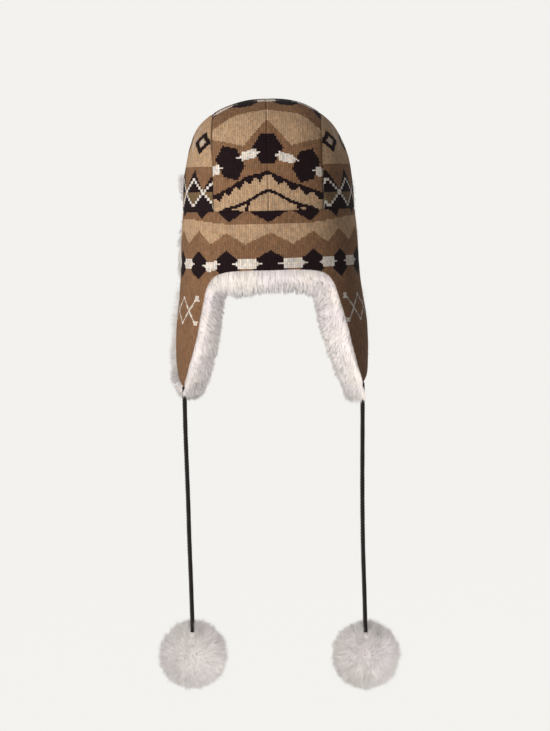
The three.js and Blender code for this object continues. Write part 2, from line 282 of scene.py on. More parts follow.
def curve_through(points, steps):
    """Points on an even Catmull-Rom curve through the given ones."""
    points = np.array(points, float)
    count = len(points)
    rows = []
    for k in range(count - 1):
        a, b, c, d = (points[min(max(k + step, 0), count - 1)] for step in (-1, 0, 1, 2))
        for t in np.linspace(0, 1, steps, endpoint=False):
            rows.append(
                b + t * (c - a) / 2
                + t * t * (2 * a - 5 * b + 4 * c - d) / 2
                + t * t * t * (3 * b - 3 * c + d - a) / 2
            )
    rows.append(points[-1])
    return np.array(rows)


# Meshes

def grid_quads(rows, columns, wrap=False):
    """The corners of each cell of a grid of points. wrap joins its last column to its first."""
    index = np.arange(rows * columns).reshape(rows, columns)
    if wrap:
        index = np.concatenate([index, index[:, :1]], axis=1)
    corners = [index[:-1, :-1], index[1:, :-1], index[1:, 1:], index[:-1, 1:]]
    return np.stack(corners, -1).reshape(-1, 4)


def add_mesh(name, points, corners, sizes, material, corner_colours=None, uvs=None, normals=None):
    """A piece from its points, its faces' corners in one row and the number of corners of each face."""
    mesh = bpy.data.meshes.new(name)
    mesh.vertices.add(len(points))
    mesh.vertices.foreach_set("co", np.ascontiguousarray(points, np.float32).ravel())
    mesh.loops.add(len(corners))
    mesh.loops.foreach_set("vertex_index", corners.astype(np.int32))
    mesh.polygons.add(len(sizes))
    starts = np.concatenate([[0], np.cumsum(sizes)[:-1]])
    mesh.polygons.foreach_set("loop_start", starts.astype(np.int32))
    mesh.polygons.foreach_set("use_smooth", np.ones(len(sizes), bool))
    mesh.update(calc_edges=True)
    if corner_colours is not None:
        layer = mesh.color_attributes.new("tone", "FLOAT_COLOR", "CORNER")
        rgba = np.concatenate([corner_colours, np.ones((len(corners), 1))], axis=1)
        layer.data.foreach_set("color", rgba.astype(np.float32).ravel())
    if uvs is not None:
        layer = mesh.uv_layers.new(name="stitches")
        layer.data.foreach_set("uv", uvs.astype(np.float32).ravel())
    if normals is not None:
        mesh.normals_split_custom_set_from_vertices(normals.astype(np.float32).tolist())
    mesh.materials.append(material)
    piece = add_object(name, mesh)
    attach(piece, "root")
    return piece


def dress(node):
    """The piece takes the place of a solid, which is hidden."""
    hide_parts(node)


def knit_mesh(name, node, points, tones, skirt_out):
    """A sheet of stitches: points is a grid of rows and columns, tones a colour for each stitch.
    Corners that coincide are merged. The sheet's rims turn in by the wall along skirt_out, and the walls
    take half the stitch's colour as painted shade."""
    rows, columns = points.shape[:2]
    flat = points.reshape(-1, 3)
    keys = np.round(flat * 1e6).astype(np.int64)
    _, first, back = np.unique(keys, axis=0, return_index=True, return_inverse=True)
    cells = grid_quads(rows, columns)
    quads = first[back.ravel()][cells]
    places = np.stack([cells % columns, cells // columns], -1)
    colours = tones.reshape(-1, 3)
    faces, uvs, paints = [], [], []
    edge_use = {}
    for k, quad in enumerate(quads.tolist()):
        kept = [c for c in range(4) if quad[c] != quad[c - 1]]
        if len(kept) < 3 or len({quad[c] for c in kept}) < 3:
            continue
        face = [quad[c] for c in kept]
        faces.append(face)
        uvs.extend(places[k, kept].tolist())
        paints.extend([colours[k]] * len(face))
        for c, corner in enumerate(face):
            a, b = corner, face[(c + 1) % len(face)]
            key = (min(a, b), max(a, b))
            edge_use[key] = None if key in edge_use else (a, b, k)
    inner = flat - skirt_out.reshape(-1, 3) * KNIT_WALL
    every = np.concatenate([flat, inner])
    shift = len(flat)
    for use in edge_use.values():
        if use is None:
            continue
        a, b, k = use
        faces.append([b, a, a + shift, b + shift])
        uvs.extend([[0.5, 0.5]] * 4)
        # Painted shade: the turned-in walls take half their stitch's colour, so the gaps at seams and edges
        # look dark.
        paints.extend([colours[k] * 0.5] * 4)
    used = np.unique(np.concatenate([np.array(face) for face in faces]))
    renumber = np.zeros(len(every), np.int64)
    renumber[used] = np.arange(len(used))
    corners = renumber[np.concatenate([np.array(face) for face in faces])]
    sizes = np.array([len(face) for face in faces])
    piece = add_mesh(name, every[used], corners, sizes, knit_look, np.array(paints), np.array(uvs))
    dress(node)


def underfur(name, node, points, tone, spots, wrap=True):
    """A smooth sheet under the strands, from a grid of points, in one tone with darker and paler spots.
    spots are their strength and a number for each point."""
    strength, shades = spots
    tones = tone * (1 + strength * shades)[..., None]
    corners = grid_quads(*points.shape[:2], wrap).ravel()
    colours = tones.reshape(-1, 3)[corners]
    sizes = np.full(len(corners) // 4, 4)
    piece = add_mesh(name, points.reshape(-1, 3), corners, sizes, backing_look, colours)
    piece.visible_shadow = False
    dress(node)
    return piece


# Materials

def new_material(name):
    material = bpy.data.materials.new(name)
    material.use_nodes = True
    tree = material.node_tree
    return material, tree, tree.nodes["Principled BSDF"]


def set_inputs(node, **values):
    """Constants on a node's sockets, whose names have blanks where these have underscores."""
    for name, value in values.items():
        node.inputs[name.replace("_", " ")].default_value = value


def math_node(tree, operation, first, second=None):
    node = tree.nodes.new("ShaderNodeMath")
    node.operation = operation
    for socket, value in zip(node.inputs, (first, second)):
        if isinstance(value, bpy.types.NodeSocket):
            tree.links.new(value, socket)
        elif value is not None:
            socket.default_value = value
    return node.outputs[0]


def line_node(tree, value, gain, base):
    """The value times gain plus base."""
    return math_node(tree, "ADD", math_node(tree, "MULTIPLY", value, gain), base)


def noise_node(tree, scale, detail, roughness):
    where = tree.nodes.new("ShaderNodeTexCoord")
    node = tree.nodes.new("ShaderNodeTexNoise")
    set_inputs(node, Scale=scale, Detail=detail, Roughness=roughness)
    tree.links.new(where.outputs["Object"], node.inputs["Vector"])
    return node.outputs["Fac"]


def scaled_colour(tree, colour, factor):
    node = tree.nodes.new("ShaderNodeVectorMath")
    node.operation = "SCALE"
    tree.links.new(colour, node.inputs[0])
    tree.links.new(factor, node.inputs["Scale"])
    return node.outputs[0]


def tone_node(tree):
    node = tree.nodes.new("ShaderNodeAttribute")
    node.attribute_name = "tone"
    return node.outputs["Color"]


def bump(tree, shader, height, distance, strength):
    node = tree.nodes.new("ShaderNodeBump")
    set_inputs(node, Distance=distance, Strength=strength)
    tree.links.new(height, node.inputs["Height"])
    tree.links.new(node.outputs[0], shader.inputs["Normal"])


# Shares of a stitch's tone: painted shade from its rounded legs and from the rib of stitches, which darkens
# the gaps between them, and even
LEG_PAINTED_SHADE, RIB_PAINTED_SHADE, EVEN_SHADE = 0.20, 0.32, 0.60
LEG_SLANT = 1.6


def knit_material():
    """Stocking stitch: two slanted legs to each stitch with painted shade between the columns and at the
    legs' sides, heathered yarn and a soft nap.
    """
    material, tree, shader = new_material("knit")
    where = tree.nodes.new("ShaderNodeUVMap")
    where.uv_map = "stitches"
    parts = tree.nodes.new("ShaderNodeSeparateXYZ")
    tree.links.new(where.outputs[0], parts.inputs[0])

    def calc(operation, first, second=None):
        return math_node(tree, operation, first, second)

    across = calc("FRACT", parts.outputs["X"])
    offset = calc("ABSOLUTE", calc("SUBTRACT", across, 0.5))
    centre = calc("ABSOLUTE", calc("SUBTRACT", offset, 0.25))
    leg = calc("SUBTRACT", 1.0, calc("MULTIPLY", centre, 4.0))
    slant = calc("SUBTRACT", parts.outputs["Y"], calc("MULTIPLY", offset, LEG_SLANT))
    turn = calc("SUBTRACT", calc("FRACT", slant), 0.5)
    round_leg = calc("SUBTRACT", 1.0, calc("MULTIPLY", calc("MULTIPLY", turn, turn), 3.0))
    height = calc("MULTIPLY", calc("POWER", leg, 0.6), round_leg)
    rib = calc("SUBTRACT", 1.0, calc("POWER", calc("MULTIPLY", offset, 2.0), 2.5))
    heather = noise_node(tree, 900.0, 3.0, 0.7)
    patchy = noise_node(tree, 45.0, 3.0, 0.6)
    # Painted shade: the stitch's colour darkens between stitch columns and towards each leg's sides, as the
    # bump also does.
    shade = calc("ADD", calc("MULTIPLY", height, LEG_PAINTED_SHADE), line_node(tree, rib, RIB_PAINTED_SHADE, EVEN_SHADE))
    speckled = calc("MULTIPLY", shade, line_node(tree, heather, 0.5, 0.78))
    factor = calc("MULTIPLY", speckled, line_node(tree, patchy, 0.34, 0.83))
    tree.links.new(scaled_colour(tree, tone_node(tree), factor), shader.inputs["Base Color"])
    relief = calc("ADD", height, calc("MULTIPLY", rib, 0.8))
    bump(tree, shader, calc("ADD", relief, calc("MULTIPLY", heather, 0.35)), 0.0006, 0.8)
    set_inputs(shader, Roughness=0.95, Specular_IOR_Level=0.1)
    return material


def fur_material(name, grain_size, amount):
    """Fur in fine streaks, which lets half of the light through."""
    material, tree, shader = new_material(name)
    streak = noise_node(tree, grain_size, 2.0, 0.6)
    colour = scaled_colour(tree, tone_node(tree), line_node(tree, streak, amount, 1 - amount / 2))
    tree.links.new(colour, shader.inputs["Base Color"])
    set_inputs(shader, Roughness=0.8, Specular_IOR_Level=0.1)
    through = tree.nodes.new("ShaderNodeBsdfTranslucent")
    tree.links.new(colour, through.inputs["Color"])
    both = tree.nodes.new("ShaderNodeMixShader")
    both.inputs[0].default_value = 0.5
    tree.links.new(shader.outputs[0], both.inputs[1])
    tree.links.new(through.outputs[0], both.inputs[2])
    tree.links.new(both.outputs[0], tree.nodes["Material Output"].inputs["Surface"])
    return material


def cord_material():
    material, tree, shader = new_material("cord_yarn")
    fibre = noise_node(tree, 1500.0, 3.0, 0.7)
    colour = scaled_colour(tree, tone_node(tree), line_node(tree, fibre, 0.9, 0.55))
    tree.links.new(colour, shader.inputs["Base Color"])
    bump(tree, shader, fibre, 0.0003, 0.7)
    set_inputs(shader, Roughness=0.85, Specular_IOR_Level=0.2, Sheen_Weight=0.1)
    return material


knit_look = knit_material()
strand_look = fur_material("fur", 260.0, 0.10)
backing_look = fur_material("underfur", 600.0, 0.25)
cord_look = cord_material()


# Cords: three plies twisted round each other

CORD_PLIES = 3
CORD_STEPS = 12
PLY_SIDES = 7
PLY_RADIUS = 0.00150
PLY_OFFSET = 0.00126
TWIST_LENGTH = 0.0105
CORD_TONE = np.array((0.0115, 0.0070, 0.0066))


def make_cord(side):
    path = curve_through(CORD_ROUTES[side], CORD_STEPS)
    lengths = run_lengths(path)
    along = unit(np.gradient(path, axis=0))
    first = unit(np.cross(along, np.array((0.0, 1.0, 0.0))))
    second = np.cross(along, first)
    points, corners, tones = [], [], []
    rows = len(path)
    for ply in range(CORD_PLIES):
        phase = 2 * math.pi * (lengths / TWIST_LENGTH + ply / CORD_PLIES)
        spoke = first * np.cos(phase)[:, None] + second * np.sin(phase)[:, None]
        tangent = np.cross(along, spoke)
        for k in range(PLY_SIDES):
            turn = 2 * math.pi * k / PLY_SIDES
            offset = spoke * (PLY_OFFSET + PLY_RADIUS * math.cos(turn))
            points.append(path + offset + tangent * PLY_RADIUS * math.sin(turn))
        base = ply * PLY_SIDES * rows
        for k in range(PLY_SIDES):
            here = base + k * rows + np.arange(rows)
            there = base + (k + 1) % PLY_SIDES * rows + np.arange(rows)
            corners.append(np.stack([here[:-1], here[1:], there[1:], there[:-1]], -1).reshape(-1))
    corners = np.concatenate(corners)
    tones = np.repeat(CORD_TONE[None], len(corners), axis=0)
    sizes = np.full(len(corners) // 4, 4)
    return add_mesh(f"cord_{side}", np.concatenate(points), corners, sizes, cord_look, tones), path


cords = {side: make_cord(side) for side in CORD_ROUTES}


# Knit: the yarn chart of each panel, in millimetres

BAND_REPEAT = 42.92
STRIP_REPEAT = 39.0
STRIP_SLOPE = 0.434
BLOCK_WIDTH = 3.9
BLOCK_HEIGHT = 3.0

# Rows below the crown seam on the band: the tan from its top to its shortest and longest points, the
# toothed edge, the dark hexagons and their white connectors, and the crossing lines on the flaps
TAN_TOP, TAN_FOOT, TAN_POINTS = 13.5, 22.5, 12.0
TOOTH_DEPTH, TOOTH_RUN = 11.8, 19.5
HEXAGON_ROW = 56
CONNECTOR_ROW = 54.75
CROSSING_ROW, CROSSING_SWING = 105, 14.2
CROSSING_START, CROSSING_REPEAT = 99.5, 30.6
CROSSING_REACH = (80, 235)
CORNER_PLACE = (84.5, 104.6, 13)

# Rows above the crown seam on the middle panels: the toothed line, the wavy line, the middle hexagon,
# and the hexagons on top, measured back from the crest
STRIP_TEETH = 40.6
STRIP_WAVE = 21.2
STRIP_HEXAGON = 66.7
CREST_BROWN = 66.5
CREST_HEXAGON = 37

# Rows above the crown seam on the side panels, and how far the motifs lean with each row
LATTICE_REPEAT, LATTICE_SWING = 37.8, 14.5
SIDE_TAN = 47.5
DIAMOND_START, DIAMOND_ROW = 61.5, 74
LEAF_START, LEAF_ROW = 40.5, 79
MOTIF_LEAN = 0.33

# Where the band's pattern lies round the hat: distance from the middle of the front, place in the chart
BAND_STRETCH = [
    (-322, -322), (-130, -130), (-84, -86), (-46, -43), (-25, -21.5), (1, 0),
    (46.5, 43), (82, 86), (100, 107), (150, 150), (322, 322),
]

# Distance from the middle of the front, how far the toothed edge is moved there
TOOTH_SHIFT = [(-60, -2.0), (-40, -2.6), (0, 1.0), (45, 1.6), (60, 1.0)]

# Left and right differ a little: the lattice's first crossing and its height on the side panel, and on
# the middle panels the toothed line, the branch, the outer diamond and the row of white connectors
SIDE_CHART = {
    "left": {
        "crossing": 81.0, "height": 20.5, "bulge": 3.6, "teeth": 10.8, "branch": 20.5,
        "outer": (39.0, 51.3), "white": 68.0, "top": 46.0,
    },
    "right": {
        "crossing": 70.7, "height": 18.0, "bulge": -2.2, "teeth": 14.6, "branch": 30.5,
        "outer": (40.5, 47.0), "white": 64.0, "top": 41.0,
    },
}


def folded(value, repeat):
    """The distance to the nearest multiple of the repeat."""
    return np.abs((value + repeat / 2) % repeat - repeat / 2)


def folded_share(value, repeat):
    return folded(value, repeat) / (repeat / 2)


def stepped(value, size):
    return (np.floor(value / size) + 0.5) * size


def block(codes, across, up):
    """A white connector: a stepped block with a one-row arm at each side."""
    up = np.abs(up)
    body = ((up < 4.9) & (across < 8.9)) | ((up < 1.6) & (across < 10.4))
    codes[body | ((up < 0.8) & (across < 14.3))] = WHITE


def zigzag(height, share, middle, swing, half_line):
    return np.abs(np.abs(height - middle) - swing * share) < half_line


def diamond(across, up, width, height, flat):
    """Half-sizes of a diamond with its top and bottom cut flat."""
    return (np.abs(across) / width + np.abs(up) / height < 1) & (np.abs(up) < flat)


def band_chart(arc, drop):
    motif = folded(read_table(BAND_STRETCH, arc), BAND_REPEAT)
    between = BAND_REPEAT / 2 - motif
    side = np.abs(arc)
    raised = drop + 7.0 * smooth_step(30, 105, side) * np.clip(1 - drop / 40, 0, 1)
    codes = np.full(arc.shape, BROWN)
    codes[(raised > TAN_TOP) & (raised < TAN_FOOT + TAN_POINTS * motif / (BAND_REPEAT / 2))] = TAN
    tooth = folded(read_table(BAND_STRETCH, arc + read_table(TOOTH_SHIFT, arc)), BAND_REPEAT)
    codes[raised < TOOTH_DEPTH * (1 - tooth / TOOTH_RUN)] = DARK
    codes[diamond(motif, drop - HEXAGON_ROW, 22, 15.4, 15)] = DARK
    block(codes, between, drop - CONNECTOR_ROW - 3.0 * np.exp(-((arc + 67) / 9) ** 2))
    crossing = folded_share(stepped(side, BLOCK_WIDTH / 2) - CROSSING_START, CROSSING_REPEAT)
    lines = zigzag(stepped(drop, BLOCK_HEIGHT / 2), crossing, CROSSING_ROW, CROSSING_SWING, 1.3)
    lines &= (side > CROSSING_REACH[0]) & (side < CROSSING_REACH[1])
    across, middle, apart = CORNER_PLACE
    corner = (np.abs(side - across) < 2.8) & (np.abs(np.abs(drop - middle) - apart) < 2.4)
    codes[lines | corner] = WHITE
    return codes


def strip_chart(x, arch, length, side):
    rules = SIDE_CHART[side]
    rise = np.minimum(arch, length - arch)
    row = rise + STRIP_SLOPE * x
    other = STRIP_REPEAT / 2 - folded(x, STRIP_REPEAT)
    tooth_line = STRIP_TEETH + rules["bulge"] * np.exp(-((x - 23) / 14) ** 2)
    codes = np.full(x.shape, TAN)
    edge = np.where(x < 25, 103.4 - 0.93 * x, 80 + 0.72 * (x - 25))
    codes[(row > tooth_line) & (row < edge)] = BROWN
    crest = length / 2 - rise
    codes[crest < CREST_BROWN + 2.0 * np.abs(np.sin(math.pi * x / 33))] = BROWN
    top_row = crest - CREST_HEXAGON + 0.11 * x
    outer_x, outer_rise = rules["outer"]
    codes[diamond(x, rise - STRIP_HEXAGON, 16.5, 29, 17)] = DARK
    codes[diamond(x - outer_x, rise - outer_rise - 0.26 * (x - outer_x), 15, 31, 16.8)] = DARK
    top_motif = folded(x, rules["top"])
    codes[diamond(rules["top"] / 2 - top_motif, top_row, 21, 24, 17)] = DARK
    block(codes, 1.15 * other, row - rules["white"] - 0.16 * (x % STRIP_REPEAT - STRIP_REPEAT / 2))
    block(codes, top_motif, top_row)
    gap = folded_share(x - 2.8, rules["teeth"])
    below = tooth_line - row
    codes[(below > -1.6) & (below < 1.4 + 6.6 * gap)] = DARK
    line = STRIP_WAVE + 1.2 * np.sin(x / 6.5 + 0.6) - 0.7
    codes[np.abs(row - line) < 1.9] = DARK
    branch = rules["branch"] + 0.35 * (line - row)
    codes[(np.abs(x - branch) < 2.1) & (row < line)] = DARK
    codes[(rise < 2.2) & (x > branch + 8) & (x < 50)] = DARK
    return codes


def side_chart(arc, climb, side):
    rules = SIDE_CHART[side]
    crossing = folded_share(arc + rules["crossing"], LATTICE_REPEAT)
    middle = rules["height"]
    codes = np.where(climb > SIDE_TAN, TAN, BROWN)
    codes[climb < middle + 2.5 + 22.0 * crossing] = DARK
    codes[(np.abs(climb - middle) < LATTICE_SWING * crossing - 1.5) & (climb < middle + 0.5)] = OLIVE
    step = folded_share(stepped(arc, BLOCK_WIDTH / 2) + rules["crossing"], LATTICE_REPEAT)
    codes[zigzag(stepped(climb, BLOCK_HEIGHT), step, middle, LATTICE_SWING, 1.7)] = WHITE
    beside = folded(arc + DIAMOND_START - MOTIF_LEAN * (climb - DIAMOND_ROW), BAND_REPEAT)
    size = beside / 16 + np.abs(climb - DIAMOND_ROW) / 13.0
    codes[(size > 0.45) & (size < 1)] = DARK
    codes[size < 0.35] = PALE
    beside = folded(arc + LEAF_START - MOTIF_LEAN * (climb - LEAF_ROW + 1), BAND_REPEAT)
    leaf = beside / 5.5 + np.abs(climb - LEAF_ROW) / 18.0
    codes[(leaf > 0.4) & (leaf < 1)] = PALE
    return codes


def paint(codes, seed):
    """Yarn colours of the stitches: heathered in short upright streaks, each stitch a little different."""
    row, column = np.indices(codes.shape)
    each = lattice(np.stack([row, column, codes], -1), seed) - 0.5
    streak = lattice(np.stack([row // 3, column, codes], -1), seed + 1) - 0.5
    hue = lattice(np.stack([row // 2, column, codes], -1), seed + 2) - 0.5
    colours = YARN[codes] * (1 + 0.26 * each + 0.30 * streak)[..., None]
    return colours * (1 + hue[..., None] * np.array((0.10, -0.01, -0.13)))


# How deep and how wide the cloth sinks at seams and hems, and the seeds of the yarn's unevenness
SEAM_DIP, SEAM_SPREAD = 0.0004, 0.0012
HEM_DIP, HEM_SPREAD = 0.0009, 0.003


BAND_SEED = 3
STRIP_SEEDS = {"left": 4, "right": 6}
SIDE_SEEDS = {"left": 22, "right": 24}


def stitch_middles(*grids):
    """Halfway between the steps of each grid, in millimetres, for every stitch."""
    return np.broadcast_arrays(*(middles(grid) * MILLIMETRES for grid in grids))


def groove(distance):
    """How far the cloth dips beside a seam."""
    return SEAM_DIP * np.exp(-(distance / SEAM_SPREAD) ** 2)


# The oval at the crown seam, by distance round it from the middle of the front
dense_angle = np.linspace(0, math.pi, 4000)
oval_points = shell(dense_angle, 0.0)
oval_arc = run_lengths(oval_points)


def angle_at(arc):
    return np.sign(arc) * np.interp(np.abs(arc), oval_arc, dense_angle)


# The lower edge, as angle and drop
edge_curve = curve_through(
    [
        (math.acos(signed_power(forward, OVAL_POWER / 2)), BAND_DEPTH + fall * FLAP_LENGTH)
        for forward, fall in EDGE_TABLE
    ],
    30,
)
edge_angle, edge_drop = edge_curve.T


def make_band():
    arcs = np.linspace(-oval_arc[-1], oval_arc[-1], BAND_STITCHES + 1)
    angles = angle_at(arcs)
    ends = np.interp(np.abs(angles), edge_angle, edge_drop)
    count = int(math.ceil(TIP_DROP / STITCH_ROW)) + 1
    drops = np.arange(count)[:, None] * STITCH_ROW
    clipped = np.minimum(drops, ends[None, :])
    angle_grid = np.broadcast_to(angles[None, :], clipped.shape)
    out = shell_out(angle_grid, clipped)
    both_angles = np.concatenate([-edge_angle[::-1], edge_angle])
    both_drops = np.concatenate([edge_drop[::-1], edge_drop])
    flat = shell(angle_grid, clipped)
    near = np.full(clipped.shape, 1.0)
    for edge_point in shell(both_angles, both_drops)[::8]:
        near = np.minimum(near, np.linalg.norm(flat - edge_point, axis=-1))
    hem = HEM_DIP * np.clip(1 - near / HEM_SPREAD, 0, 1) ** 2
    points = flat + out * (folds(flat) - groove(clipped) - hem)[..., None]
    tones = paint(band_chart(*stitch_middles(arcs, drops)), BAND_SEED)
    knit_mesh("knit_band", "band_with_earflaps", points, tones, out)


def crown_out(points):
    x, y = points[..., 0], points[..., 1]
    height = np.clip(points[..., 2] - SEAM_HEIGHT, 0, None)
    flat = (np.abs(x) / HALF_WIDTH) ** OVAL_POWER + (np.abs(y) / HALF_DEPTH) ** OVAL_POWER
    lean = np.maximum(flat, 1e-9) ** (ARCH_POWER / OVAL_POWER - 1)
    return unit(np.stack([
        lean * signed_power(x, OVAL_POWER - 1) / HALF_WIDTH ** OVAL_POWER,
        lean * signed_power(y, OVAL_POWER - 1) / HALF_DEPTH ** OVAL_POWER,
        height ** (ARCH_POWER - 1) / CROWN_RISE ** ARCH_POWER,
    ], -1))


def spaced(path, step, count):
    """Points every step along a path, kept at its end once they pass it, with the path's length."""
    lengths = run_lengths(path)
    wanted = np.minimum(np.arange(count) * step, lengths[-1])
    return np.stack([np.interp(wanted, lengths, path[:, k]) for k in range(3)], -1), lengths[-1]


def arch_path(x):
    """The crown's slice at x, from the front seam over the top to the back seam."""
    side = (abs(x) / HALF_WIDTH) ** OVAL_POWER
    top = CROWN_RISE * (1 - side ** (ARCH_POWER / OVAL_POWER)) ** (1 / ARCH_POWER)
    height = top * np.sin(np.linspace(0, math.pi / 2, 500))
    room = (1 - (height / CROWN_RISE) ** ARCH_POWER) ** (OVAL_POWER / ARCH_POWER) - side
    y = -HALF_DEPTH * np.clip(room, 0, None) ** (1 / OVAL_POWER)
    front = np.stack([np.full(500, x), y, SEAM_HEIGHT + height], -1)
    back = front[-2::-1] * np.array((1, -1, 1))
    return np.concatenate([front, back])


def crown_panel(name, node, side, points, out, dip, reach, tones, flip):
    """A panel of the crown, given as on the right of the hat. dip is how far the cloth sinks at seams and
    reach its nearest and farthest x. flip reverses the columns, so that the faces look outwards."""
    mirror = np.array((-1 if side == "left" else 1, 1, 1))
    points, out = points * mirror, out * mirror
    lifted = points + out * (folds(points) - dip)[..., None]
    lifted[..., 0] = mirror[0] * np.clip(mirror[0] * lifted[..., 0], *reach)
    order = slice(None, None, -1) if flip else slice(None)
    knit_mesh(f"{name}_{side}", f"{node}_{side}", lifted[:, order], tones[:, order], out[:, order])


def make_strip(side):
    xs = np.linspace(SEAM_GAP, STRIP_HALF - SEAM_GAP, STRIP_STITCHES + 1)
    count = int(STRIP_LENGTH / STITCH_ROW) + 2
    columns = [spaced(arch_path(x), STITCH_ROW, count) for x in xs]
    points = np.stack([column for column, _ in columns], axis=1)
    lengths = np.array([length for _, length in columns])
    out = crown_out(points)
    out[:, 0, 0] = 0
    climbs = np.arange(count)[:, None] * STITCH_ROW
    arch = np.minimum(climbs, lengths)
    dip = 0.4 * groove(xs) + groove(STRIP_HALF - xs) + groove(np.minimum(arch, lengths - arch))
    tones = paint(strip_chart(*stitch_middles(xs, climbs, lengths), side), STRIP_SEEDS[side])
    reach = (SEAM_GAP, STRIP_HALF - SEAM_GAP)
    crown_panel("knit_crown", "crown_center", side, points, out, dip, reach, tones, side == "left")


def make_side(side):
    foot_angle = np.interp(STRIP_HALF, oval_points[:2000, 0], dense_angle[:2000])
    foot_arc = np.interp(foot_angle, dense_angle, oval_arc)
    half = oval_arc[-1] / 2 - foot_arc
    stitches = 2 * int(round(half / SIDE_STITCH))
    arcs = np.linspace(-half, half, stitches + 1)
    feet = shell(np.interp(arcs + oval_arc[-1] / 2, oval_arc, dense_angle), 0.0)
    count = int(SIDE_CLIMB / STITCH_ROW)
    columns = []
    for foot in feet:
        across = (abs(foot[1]) / HALF_DEPTH) ** OVAL_POWER
        room = 1 - (across + (STRIP_HALF / HALF_WIDTH) ** OVAL_POWER) ** (ARCH_POWER / OVAL_POWER)
        height = np.linspace(0, CROWN_RISE * max(room, 0) ** (1 / ARCH_POWER), 200)
        reach = (1 - (height / CROWN_RISE) ** ARCH_POWER) ** (OVAL_POWER / ARCH_POWER) - across
        x = HALF_WIDTH * np.clip(reach, 0, None) ** (1 / OVAL_POWER)
        path = np.stack([np.maximum(x, STRIP_HALF), np.full(200, foot[1]), SEAM_HEIGHT + height], -1)
        columns.append(spaced(path, STITCH_ROW, count))
    points = np.stack([column for column, _ in columns], axis=1)
    dip = groove(points[..., 0] - STRIP_HALF) + groove(points[..., 2] - SEAM_HEIGHT)
    climbs = np.arange(count)[:, None] * STITCH_ROW
    tones = paint(side_chart(*stitch_middles(arcs, climbs), side), SIDE_SEEDS[side])
    reach = (STRIP_HALF + SEAM_GAP, None)
    out = crown_out(points)
    crown_panel("knit_side", "crown_side", side, points, out, dip, reach, tones, side == "right")


make_band()
for side in CORD_ROUTES:
    make_strip(side)
    make_side(side)


# Fur

# Tufts: their sizes, how far and how broadly their grid is warped, how their strands draw together and
# lean with them; then the parts of a strand below and above its bend
RIM_TUFT, LINING_TUFT, POMPOM_TUFT = 0.006, 0.007, 0.0045
TUFT_WARP, WARP_SIZE = 0.006, 0.02
TUFT_PULL, TUFT_LEAN = 0.3, 0.4
LOWER_PART, UPPER_PART = 0.5, 0.55
STRAND_WIDTHS = (0.00025, 0.0006)
PALEST = 0.95


def strands(name, node, slot, roots, start, end, lengths, widths, facing, tones, tuft_size, bias=0.0):
    """Fur of flat tapering strands with one bend. start and end are a strand's directions at its root
    and tip, facing the surface's outward direction. Strands of a tuft lean together. bias tilts the
    directions that the light sees."""
    warped = roots + TUFT_WARP * noise_vector(roots, WARP_SIZE, 41)
    cell = np.floor(warped / tuft_size)
    jitter = lattice_vector(cell, 50)
    pull = (cell + 0.2 + 0.6 * jitter) * tuft_size - warped
    pull -= facing * np.sum(pull * facing, axis=1, keepdims=True)
    lengths = lengths * (0.88 + 0.24 * lattice(cell, 70))
    end = unit(end + TUFT_LEAN * (lattice_vector(cell, 60) - 0.5))
    middle = roots + start * (LOWER_PART * lengths)[:, None] + pull * (0.3 * TUFT_PULL)
    tips = middle + end * (UPPER_PART * lengths)[:, None] + pull * (0.7 * TUFT_PULL)
    heading = unit(tips - roots)
    across = unit(np.cross(heading, unit(facing + 0.7 * rng.normal(size=facing.shape))))
    step = across * (widths / 2)[:, None]
    ring = [roots - 0.8 * step, roots + 0.8 * step, middle - step, middle + step, tips]
    points = np.stack(ring, axis=1).reshape(-1, 3)
    corners = (np.arange(len(roots))[:, None] * 5 + np.array((0, 1, 3, 2, 2, 3, 4))).ravel()
    sizes = np.tile((4, 3), len(roots))
    # Colour runs from the root tone to the tip tone; a darker root tone is painted shade among the strands.
    blends = np.array((0, 0, 0.6, 0.6, 1.0))[None, :, None]
    root_tone, tip_tone = tones
    by_point = mix(root_tone[:, None], tip_tone[:, None], blends)
    lay = unit(np.cross(across, heading))
    lay = lay * np.where(np.sum(lay * facing, axis=1) < 0, -1, 1)[:, None]
    normals = np.repeat(unit(facing + lay * 0.3 + bias), 5, axis=0)
    colours = by_point.reshape(-1, 3)[corners]
    piece = add_mesh(name, points, corners, sizes, strand_look, colours, normals=normals)
    piece.visible_shadow = False
    dress(node)
    return piece


def fur_tones(roots, depth=0.0, root_colour=FUR_ROOT_SHADED):
    """Root and tip colours of strands, paler and darker, pinker and creamier in patches. depth darkens
    them all."""
    patch = 1 + 0.04 * noise(roots, 0.016, 81) + 0.04 * noise(roots, 0.005, 82)
    each = patch * (1 + 0.04 * rng.normal(size=len(roots))) * (1 - depth)
    warm = 0.5 * noise(roots, 0.022, 85)[:, None] * np.array((0.0, 0.012, -0.05))
    shade = each[:, None] * (1 + warm)
    return np.minimum(root_colour * shade, PALEST), np.minimum(FUR_TIP * shade, PALEST)


def edge_loop(count):
    """Even steps round the whole lower edge, from the front over the right flap, nape and left flap."""
    angle = np.concatenate([edge_angle, -edge_angle[-2::-1]])
    drop = np.concatenate([edge_drop, edge_drop[-2::-1]])
    line = shell(angle, drop)
    lengths = run_lengths(line)
    wanted = np.linspace(0, lengths[-1], count, endpoint=False)
    return np.interp(wanted, lengths, np.unwrap(angle)), np.interp(wanted, lengths, drop), lengths[-1]


# Distance along the edge from the middle of the front in millimetres, share of the rim's reach
RIM_GAIN = [
    (-163, 1.0), (-138, 0.86), (-126, 0.72), (-113, 0.62), (-88, 0.62), (-70, 0.85), (-60, 1.1),
    (-48, 1.3), (-31, 1.06), (-15, 0.9), (0, 0.84), (15, 0.86), (31, 0.9), (39, 1.0),
    (50, 1.25), (63, 1.4), (113, 1.4), (126, 1.28), (138, 1.15), (151, 1.05), (163, 1.0),
]

